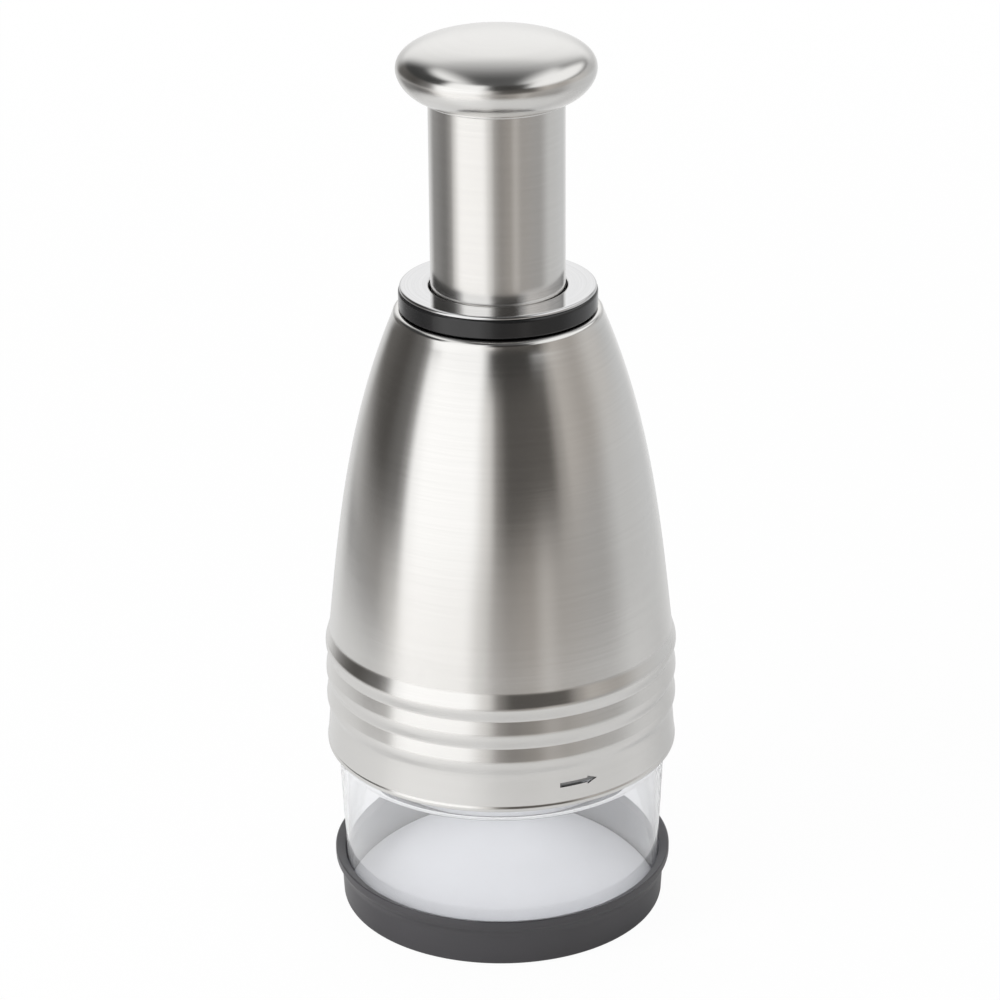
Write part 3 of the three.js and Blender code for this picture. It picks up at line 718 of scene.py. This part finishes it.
mark = {
    "azimuth": 19, "length": 10.3, "thickness": 1.25, "head": 2.2, "headLength": 2.8, "rise": 5.9,
    "depth": 0.3, "toolStart": 40, "toolDepth": 7, "toolHeight": 5,
}


def domeRadius(share):
    return dome["start"] - (dome["start"] - dome["top"]) * (share + share ** 3) / 2


# The arrow pressed into the skirt: a straight prism kept only outside the groove's floor
def markTool(skirt):
    rise = skirt + mark["rise"]
    half = mark["thickness"] / 2
    tip = mark["length"] / 2
    neck = tip - mark["headLength"]
    outline = [
        (-tip, rise - half), (neck, rise - half), (neck, rise - mark["head"] / 2), (tip, rise),
        (neck, rise + mark["head"] / 2), (neck, rise + half), (-tip, rise + half),
    ]
    piece = chain("mark_tool", outline, True)
    pickAll()
    bpy.ops.mesh.edge_face_add()
    bpy.ops.transform.translate(value=(0, -mark["toolStart"] * mm, 0))
    bpy.ops.mesh.extrude_region_move(TRANSFORM_OT_translate={"value": (0, -mark["toolDepth"] * mm, 0)})
    faceOutwards()
    leave()
    piece.rotation_euler = (0, 0, radians(mark["azimuth"]) + tip / shell["plain"])
    settle(piece, turned=True)
    floor = shell["plain"] - mark["depth"]
    low, high = rise - mark["toolHeight"], rise + mark["toolHeight"]
    cut(piece, turn("mark_core", [(0, low), (floor, low), (floor, high), (0, high)], ring=False))
    return piece


def housingShell():
    skirt, top, hemRadius = reach("housing_shell")
    wall = shell["wall"]
    plain = shell["plain"]
    hemTop = skirt + shell["hem"]
    blendTop = hemTop + shell["blend"]
    domeFoot = skirt + dome["foot"]
    corners = [
        (hemRadius - wall, skirt, shell["hemRound"]), (hemRadius, skirt, shell["hemCorner"]),
        (hemRadius, hemTop, shell["hemRound"]),
        (hemRadius - shell["hemStep"], hemTop + shell["hemSlope"], shell["stepRound"]),
        (plain, blendTop, shell["blendRound"]),
    ]
    for i in range(bead["count"]):
        level = skirt + bead["first"] + i * bead["pitch"]
        corners += [
            (plain, level - bead["rise"], bead["footRound"]),
            (bead["crest"], level - bead["low"], bead["lowRound"]),
            (bead["crest"], level + bead["high"], bead["highRound"]),
        ]
    corners.append((dome["start"] + dome["footStep"], domeFoot - dome["footDrop"], dome["footRound"]))
    for share in curve(dome["steps"])[1:-1]:
        corners.append((domeRadius(share), domeFoot + dome["height"] * share))
    corners += [
        (dome["top"], top - dome["topDrop"], dome["topRound"]), (dome["mouth"], top, dome["mouthRound"]),
        (dome["mouth"], top - wall, dome["innerMouthRound"]),
    ]
    for share in reversed(curve(dome["innerSteps"])):
        corners.append((domeRadius(share) - wall, domeFoot + dome["height"] * share - dome["innerDrop"]))
    corners += [(plain - wall, domeFoot - dome["innerFoot"]), (plain - wall, blendTop, shell["innerRound"])]
    piece = turn("steel_shell", corners)
    cut(piece, markTool(skirt))
    material = shellSteelMaterial(plain, skirt + mark["rise"])
    dress(piece, "housing", "brushed_steel", "housing_shell", material)


# Collar, trim disc and bush at the housing's top
collarShape = {
    "spigot": 22.1, "bore": 18.4, "counterbore": 19.3, "under": 163.55, "flangeTop": 159.75,
    "spigotRound": 0.3, "underRound": 0.45, "topRound": 0.9, "boreRound": 0.3,
}
screwHole = {"count": 3, "circle": 20.9, "radius": 1.4, "top": 163.65, "sides": 24}


# The holes of the screws that come up into the collar from below
def drillCollar(piece, low):
    low = low - overrun
    high = screwHole["top"]
    circle = screwHole["circle"]
    for i in range(screwHole["count"]):
        angle = 2 * pi * i / screwHole["count"]
        spot = Vector((circle * cos(angle), circle * sin(angle), (low + high) / 2)) * mm
        clear()
        bpy.ops.mesh.primitive_cylinder_add(
            vertices=screwHole["sides"], radius=screwHole["radius"] * mm, depth=(high - low) * mm,
            location=spot,
        )
        tool = bpy.context.object
        settle(tool, place=True)
        cut(piece, tool)


def collar():
    low, top, edge = reach("collar")
    spigot, bore, counterbore = collarShape["spigot"], collarShape["bore"], collarShape["counterbore"]
    under, flangeTop = collarShape["under"], collarShape["flangeTop"]
    corners = [
        (counterbore, low), (spigot, low, collarShape["spigotRound"]), (spigot, under),
        (edge, under, collarShape["underRound"]), (edge, top, collarShape["topRound"]),
        (bore, top, collarShape["boreRound"]), (bore, flangeTop), (counterbore, flangeTop),
    ]
    piece = turn("collar_ring", corners)
    drillCollar(piece, low)
    dress(piece, "housing", "gloss_black", "collar")


trimShape = {"hole": 17.15, "round": 0.6}


def trimDisc():
    low, top, edge = reach("trim_disc")
    hole = trimShape["hole"]
    corners = [(hole, low), (edge, low), (edge, top, trimShape["round"]), (hole, top, trimShape["round"])]
    dress(turn("trim_plate", corners), "housing", "polished_steel", "trim_disc")


bushShape = {
    "bore": 17.1, "outer": 18.1, "flangeLow": 158.05, "flangeTop": 159.45,
    "lowRound": 0.3, "round": 0.2, "flangeRound": 0.15, "topRound": 0.4,
}


def guideBush():
    low, top, flange = reach("guide_bush")
    bore, outer = bushShape["bore"], bushShape["outer"]
    flangeLow, flangeTop = bushShape["flangeLow"], bushShape["flangeTop"]
    corners = [
        (bore, low, bushShape["lowRound"]), (outer, low, bushShape["round"]), (outer, flangeLow),
        (flange, flangeLow, bushShape["flangeRound"]), (flange, flangeTop, bushShape["flangeRound"]),
        (outer, flangeTop), (outer, top, bushShape["round"]), (bore, top, bushShape["topRound"]),
    ]
    dress(turn("bush_sleeve", corners, middleSides), "housing", "satin_black", "guide_bush")


# Palm knob and plunger tube
knob = {
    "waist": 224.1, "crown": 8.5, "belly": 7.1, "wall": 0.8, "mouth": 17, "lip": 0.5, "lipTurn": 1.15,
    "crownPower": 0.885, "bellyPower": 1.15,
    "crownSteps": 40, "bellySteps": 20, "lipSteps": 8, "innerCrownSteps": 20, "innerBellySteps": 13,
    "tucked": 3,  # points of the belly that the lip takes the place of
}


def crownOutline(radius, inset, steps):
    points = []
    for share in curve(steps):
        angle = share * pi / 2
        across = (radius - inset) * cos(angle) ** knob["crownPower"] if share < 1 else 0
        points.append((across, knob["waist"] + (knob["crown"] - inset) * sin(angle) ** knob["crownPower"]))
    return points


def bellyOutline(radius, inset, steps):
    points = []
    for share in curve(steps)[:-1]:
        angle = (1 - share) * pi / 2
        across = knob["mouth"] + (radius - inset - knob["mouth"]) * cos(angle) ** knob["bellyPower"]
        points.append((across, knob["waist"] - (knob["belly"] - inset) * sin(angle) ** knob["bellyPower"]))
    return points


# The rolled lip where the belly meets the tube
def lipOutline():
    lip = knob["lip"]
    middle = (knob["mouth"] + lip, knob["waist"] - knob["belly"])
    points = []
    for share in curve(knob["lipSteps"]):
        angle = pi + share * knob["lipTurn"] * pi
        points.append((middle[0] + lip * cos(angle), middle[1] + lip * sin(angle)))
    return points


def palmKnob():
    radius = reach("palm_knob")[2]
    wall = knob["wall"]
    belly = bellyOutline(radius, 0, knob["bellySteps"])[knob["tucked"]:]
    outside = lipOutline() + belly + crownOutline(radius, 0, knob["crownSteps"])
    inside = crownOutline(radius, wall, knob["innerCrownSteps"])[::-1]
    inside += bellyOutline(radius, wall, knob["innerBellySteps"])[::-1]
    piece = turn("knob_shell", outside, ring=False)
    lining = turn("knob_lining", inside, ring=False)
    focus(piece)
    lining.select_set(True)
    bpy.ops.object.join()
    enter("EDGE")
    bpy.ops.mesh.select_all(action="DESELECT")
    bpy.ops.mesh.select_non_manifold(
        extend=False, use_wire=False, use_multi_face=False, use_non_contiguous=False, use_verts=False
    )
    bpy.ops.mesh.bridge_edge_loops()
    faceOutwards()
    leave()
    material = brushedSteelMaterial("knobSteel", steel["knob"])
    dress(piece, "plunger", "brushed_steel", "palm_knob", material)


tube = {"wall": 0.6, "round": 0.15, "steps": 12}


def plungerTube():
    low, top, radius = reach("plunger_tube")
    inner, rounding = radius - tube["wall"], tube["round"]
    corners = [(inner, low, rounding), (radius, low, rounding)]
    corners += [(radius, low + (top - low) * share) for share in curve(tube["steps"])[1:-1]]
    corners += [(radius, top, rounding), (inner, top, rounding)]
    dress(turn("steel_tube", corners), "plunger", "brushed_steel", "plunger_tube")


# Return spring: an open coil
spring = {"wire": 0.8, "turns": 11, "steps": 40, "sides": 12}


def returnSpring():
    low, top, outer = reach("return_spring")
    wire = spring["wire"]
    clear()
    bpy.ops.mesh.primitive_circle_add(
        vertices=spring["sides"], radius=wire * mm, rotation=(pi / 2, 0, 0),
        location=((outer - wire) * mm, 0, (low + wire) * mm),
    )
    piece = bpy.context.object
    settle(piece, place=True, turned=True)
    piece.name = piece.data.name = "coil_spring"
    rise = (top - low - 2 * wire) / spring["turns"]
    applyModifier(piece, "SCREW", {
        "angle": 2 * pi, "screw_offset": rise * mm, "iterations": spring["turns"],
        "steps": spring["steps"], "render_steps": spring["steps"],
    })
    enter()
    closeHoles()
    faceOutwards()
    leave()
    dress(piece, "housing", "spring_steel", "return_spring")
    press = next(joint for joint in frame["joints"] if joint["name"] == "plunger_press")
    stroke = max(press["range_m"]) / mm
    keep = (top - low - stroke) / (top - low)
    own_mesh(piece)


# Cutter: two zig-zag blades in a hub, and the wiper plate that they pass through
blade = {
    "across": (-32.04, -16.02, 0, 16.02, 32.04), "out": (6.12, 27, 7.92, 27, 6.12), "bend": 1.4,
    "thickness": 0.8, "edge": 0.2, "bevel": 2, "tenon": 2.8, "smoothAngle": 20,
}
wiper = {"plate": 2.4, "rim": 1.6, "gap": 0.5, "underRound": 0.35, "rimRound": 0.4, "plateRound": 0.8}
hub = {
    "gap": 0.1, "bar": 7.85, "boss": 10, "bossHeight": 3.5, "bossFlare": 2.6, "shank": 1.85, "head": 4.05,
    "recess": 1.75, "web": 1.4, "rim": 3, "rimSlope": 0.8, "dish": 1, "headRound": 0.2, "underRound": 0.4,
    "edgeRound": 0.9, "dishRound": 0.4, "flareRound": 0.8, "bossRound": 0.6, "barRound": 0.3,
}


# A strip that stands on the blade's path, longer at both ends, and thinner at its lowest level
def ribbon(name, side, longer, levels, thickness, thin=1.0):
    path = [Vector((across, -side * out)) for across, out in zip(blade["across"], blade["out"])]
    path[0] += (path[0] - path[1]).normalized() * longer
    path[-1] += (path[-1] - path[-2]).normalized() * longer
    bends = [(x, y, blade["bend"]) for x, y in path[1:-1]]
    piece = chain(name, [tuple(path[0])] + bends + [tuple(path[-1])], False, levels[0])
    pickAll()
    for before, after in zip(levels, levels[1:]):
        bpy.ops.mesh.extrude_region_move(TRANSFORM_OT_translate={"value": (0, 0, (after - before) * mm)})
    faceOutwards()
    leave()
    ground = piece.vertex_groups.new(name="ground")
    for corner in piece.data.vertices:
        lowest = corner.co.z < (levels[0] + touch) * mm
        ground.add([corner.index], thin if lowest else 1.0, "REPLACE")
    applyModifier(piece, "SOLIDIFY", {
        "thickness": thickness * mm, "offset": 0, "use_even_offset": True,
        "vertex_group": "ground", "thickness_vertex_group": 0,
    })
    return piece


# The slots for both blades, with a gap all round
def cutSlots(piece, levels, gap):
    for side in (1, -1):
        cut(piece, ribbon("slot", side, gap, levels, blade["thickness"] + 2 * gap))


def bladePiece(side, node):
    low, top = reach(node)[:2]
    levels = (low, low + blade["bevel"], top)
    thin = blade["edge"] / blade["thickness"]
    piece = ribbon("zigzag_" + node, side, 0, levels, blade["thickness"], thin)
    dress(piece, "cutter", "blade_steel", node, angle=blade["smoothAngle"])


def bladeHub():
    low, top, edge = reach("blade_hub")
    plate = top - hub["bossHeight"]
    dish = plate - hub["dish"]
    seat = low + hub["recess"]
    socket = seat + hub["web"]
    inside = edge - hub["rim"]
    corners = [
        (hub["shank"], seat), (hub["head"], seat), (hub["head"], low, hub["headRound"]),
        (edge, low, hub["underRound"]), (edge, plate, hub["edgeRound"]), (inside, plate, hub["dishRound"]),
        (inside - hub["rimSlope"], dish, hub["dishRound"]),
        (hub["boss"] + hub["bossFlare"], dish, hub["flareRound"]), (hub["boss"], plate, hub["flareRound"]),
        (hub["boss"], top, hub["bossRound"]), (hub["bar"], top, hub["barRound"]),
        (hub["bar"], socket), (hub["shank"], socket),
    ]
    piece = turn("hub_disc", corners, middleSides)
    cutSlots(piece, (low - overrun, low + blade["tenon"] + hub["gap"]), hub["gap"])
    dress(piece, "cutter", "white_plastic", "blade_hub")


def wiperPlate():
    low, top, edge = reach("wiper_plate")
    plate = low + wiper["plate"]
    inside = edge - wiper["rim"]
    corners = [
        (0, low), (edge, low, wiper["underRound"]), (edge, top, wiper["rimRound"]),
        (inside, top, wiper["rimRound"]), (inside, plate, wiper["plateRound"]), (0, plate),
    ]
    piece = turn("wiper_disc", corners, middleSides, ring=False)
    cutSlots(piece, (low - overrun, top + overrun), wiper["gap"])
    dress(piece, "wiper", "white_plastic", "wiper_plate")


baseCap()
footRing()
choppingBoard()
chamber()
housingShell()
collar()
trimDisc()
guideBush()
palmKnob()
plungerTube()
returnSpring()
bladeHub()
wiperPlate()
bladePiece(1, "front_blade")
bladePiece(-1, "rear_blade")


# The nodes that stay get the finish that the record names
for part in frame["record"]["subparts"]:
    for holder in frame["nodes"][part["node"]].material_slots:
        holder.material = finishes[part["material_slot"]]
print("nodes finished")


# Floor: pale for the lamps, white for the camera, and for reflections dim near the chopper and open to the
# room beneath farther out. The pairs are distances from the axis, in metres
floorShape = {
    "size": 8, "colour": 0.8, "grain": 40.0, "change": 0.01,
    "mirrored": 0.68, "open": (0.2, 0.42), "near": 0.12,
    "white": 0.965, "whiter": (0.35, 1.2),
}


def floorMaterial():
    root = startMaterial("paleFloor")
    x, y = split(root)[:2]
    away = fromAxis(root, x, y)
    low, high = floorShape["colour"] - floorShape["change"], floorShape["colour"] + floorShape["change"]
    colour = noise(root, root.place, floorShape["grain"]).spread().tint(grey(low), grey(high))
    matt = root.node("ShaderNodeBsdfDiffuse", {}, {"Color": colour})
    dim = root.node("ShaderNodeBsdfDiffuse", {}, {"Color": grey(floorShape["mirrored"])})
    clearPart = root.node("ShaderNodeBsdfTransparent", {}, {})
    white = root.node("ShaderNodeEmission", {}, {"Color": grey(1), "Strength": 1.0})
    far = away.between(*floorShape["open"]) * (1 - floorShape["near"]) + floorShape["near"]
    lit = mixShaders(root, rayIs(root, "Glossy"), matt, mixShaders(root, far, dim, clearPart))
    bright = away.between(*floorShape["whiter"]) * (1 - floorShape["white"]) + floorShape["white"]
    seen = rayIsEither(root, "Camera", "Transmission")
    return closeMaterial(root, mixShaders(root, seen, lit, mixShaders(root, bright, matt, white)))


def layFloor():
    clear()
    bpy.ops.mesh.primitive_plane_add(size=floorShape["size"], location=(0, 0, 0))
    floor = bpy.context.object
    floor.name = "floor"
    floor.data.materials.append(floorMaterial())


# Room: what metal and plastic mirror. Cards and flags stand round the chopper: each stop is an angle round
# from the camera to its right, a brightness and a warmth. The pairs are heights or sides, as shares of a
# direction, between which one thing turns into the next
room = {
    "peak": 1.3,
    "low": 1.05,  # plain light near the horizon and overhead, for what isn't shiny
    "high": 0.5,
    "plain": (0.1, 0.9),
    "slopeStart": (-0.29, -0.26),
    "eyeStart": (-0.22, -0.02),
    "lean": 0.08,  # how much lower the cards start on the left than in the middle
    "raisedStart": (0.24, 0.36),
    "gapStart": (0.66, 0.8),
    "gap": 0.09,
    "ceiling": 0.97,
    "ceilingAim": (0.94, 0.34),
    "ceilingPower": 3.0,
    "ceilingStart": (0.05, 0.3),
    "ceilingSides": (0.35, 0.65),
    "wings": (0.25, 0.6),
    "windowStart": (0.3, 0.45),
    "windowSide": (0.45, 0.65),
    "eye": [
        (-180, 0.86, 0), (-158, 0.62, 0), (-138, 0.12, 0.05),  # pale back wall, then the left flag
        (-104, 0.07, 0.06), (-84, 0.14, 0.03), (-78, 0.27, 0.02),
        (-69, 1.06, 0), (-60, 1.15, 0), (-21, 1.12, 0), (-9, 0.72, 0.02),  # soft box
        (-1, 0.2, 0.05), (7, 0.08, 0.07), (40, 0.09, 0.08),  # middle flag
        (51, 0.32, 0.06), (57, 0.44, 0.06), (78, 0.37, 0.06), (104, 0.54, 0.03),  # right card
        (140, 0.49, 0), (162, 0.66, 0), (180, 0.86, 0),
    ],
    "slope": [  # just below the eye's height, as the dome's lower half mirrors it
        (-180, 0.9, 0), (-160, 0.7, 0), (-138, 0.48, 0.01), (-112, 0.36, 0.02), (-96, 0.36, 0.03),
        (-80, 0.66, 0.02), (-66, 1.04, 0.01), (-26, 0.98, 0.01), (-13, 0.62, 0.02), (-3, 0.37, 0.04),
        (6, 0.31, 0.06), (20, 0.33, 0.07), (31, 0.47, 0.05), (42, 0.37, 0.05), (74, 0.38, 0.02),
        (100, 0.56, 0), (140, 0.6, -0.01), (180, 0.88, 0),
    ],
    "below": [  # lower still, as the tube mirrors it
        (-180, 0.9, 0), (-156, 0.7, 0), (-130, 0.26, 0.01), (-98, 0.16, 0.02), (-85, 0.24, 0.03),
        (-77, 0.7, 0.02), (-64, 1.06, 0.01), (-24, 1.06, 0.01), (-12, 0.7, 0.02), (-3, 0.33, 0.04),
        (6, 0.25, 0.06), (20, 0.3, 0.07), (31, 0.46, 0.05), (42, 0.34, 0.05), (74, 0.34, 0.02),
        (100, 0.56, 0), (140, 0.6, -0.01), (180, 0.88, 0),
    ],
    "raised": [
        (-180, 0.86, 0), (-160, 0.5, 0), (-140, 0.04, 0), (-72, 0.04, 0), (-57, 1.05, 0), (-19, 1.05, 0),
        (-5, 0.04, 0.05), (42, 0.04, 0.05), (55, 0.46, 0.05), (86, 0.3, 0.05), (104, 0.06, 0), (148, 0.06, 0),
        (165, 0.6, 0), (180, 0.86, 0),
    ],
}


# A brightness as a share of the room's strength
def roomGrey(level):
    return grey(level / room["peak"])


def roomRamp(root, azimuth, stops):
    colours = []
    for angle, level, warm in stops:
        level = level / room["peak"]
        colours.append(((angle + 180) / 360, (level * (1 + warm), level, level * (1 - warm), 1)))
    return root.node("ShaderNodeValToRGB", {"stops": colours, "blend": "EASE"}, {0: azimuth})


# The cards and flags, up to the dark gap overhead
def roomSides(root, x, y, z):
    azimuth = root.math("ARCTAN2", x, y * -1.0) / (2 * pi) + 0.5
    ramps = {name: roomRamp(root, azimuth, room[name]) for name in ("below", "slope", "eye", "raised")}
    sides = z.between(*room["slopeStart"]).tint(ramps["below"], ramps["slope"])
    sides = (z - x * room["lean"]).between(*room["eyeStart"]).tint(sides, ramps["eye"])
    sides = z.between(*room["raisedStart"]).tint(sides, ramps["raised"])
    return z.between(*room["gapStart"]).tint(sides, roomGrey(room["gap"]))


# Where the pale ceiling shows: behind the chopper, overhead on both sides, and in a window high on the right
def roomCeiling(root, x, y, z):
    sideways = root.math("ABSOLUTE", x)
    toward, up = room["ceilingAim"]
    glow = root.math("POWER", root.math("MAXIMUM", y * toward + z * up, 0.0), room["ceilingPower"])
    glow = glow * z.between(*room["ceilingStart"]) * (1 - sideways.between(*room["ceilingSides"]))
    wings = z.between(*room["gapStart"]) * sideways.between(*room["wings"])
    window = z.between(*room["windowStart"]) * x.between(*room["windowSide"])
    return root.math("MAXIMUM", glow, root.math("MAXIMUM", wings, window))


def lightRoom():
    world = bpy.data.worlds.new("room")
    bpy.context.scene.world = world
    world.use_nodes = True
    world.node_tree.nodes.clear()
    root = Link(world.node_tree)
    root.place = root.node("ShaderNodeTexCoord", {}, {}, "Generated")
    x, y, z = split(root)
    mirrored = roomCeiling(root, x, y, z).tint(roomSides(root, x, y, z), roomGrey(room["ceiling"]))
    plain = z.between(*room["plain"]).tint(roomGrey(room["low"]), roomGrey(room["high"]))
    plain = rayIsEither(root, "Camera", "Transmission").tint(plain, roomGrey(1))
    colour = rayIs(root, "Glossy").tint(plain, mirrored)
    shader = root.node("ShaderNodeBackground", {}, {"Color": colour, "Strength": room["peak"]})
    root.node("ShaderNodeOutputWorld", {}, {"Surface": shader})


lamps = [
    {"name": "key", "spot": (-0.85, -0.5, 0.42), "size": 0.5, "power": 9},
    {"name": "fill", "spot": (1.3, -0.8, 0.5), "size": 0.9, "power": 1.5},
    {"name": "back", "spot": (-0.1, 1.4, 0.6), "size": 1.2, "power": 6},
    {"name": "top", "spot": (0.0, 0.2, 1.7), "size": 1.1, "power": 2},
]
lampAim = (0, 0, 0.1)


def hangLamps():
    for lamp in lamps:
        clear()
        spot = Vector(lamp["spot"])
        aim = (Vector(lampAim) - spot).to_track_quat("-Z", "Y").to_euler()
        bpy.ops.object.light_add(type="AREA", location=spot, rotation=aim)
        made = bpy.context.object
        made.name = lamp["name"]
        made.data.energy = lamp["power"]
        made.data.size = lamp["size"]
        made.visible_glossy = False
        made.visible_camera = False
        made.visible_transmission = False


layFloor()
lightRoom()
hangLamps()
print("room lit")

clear()
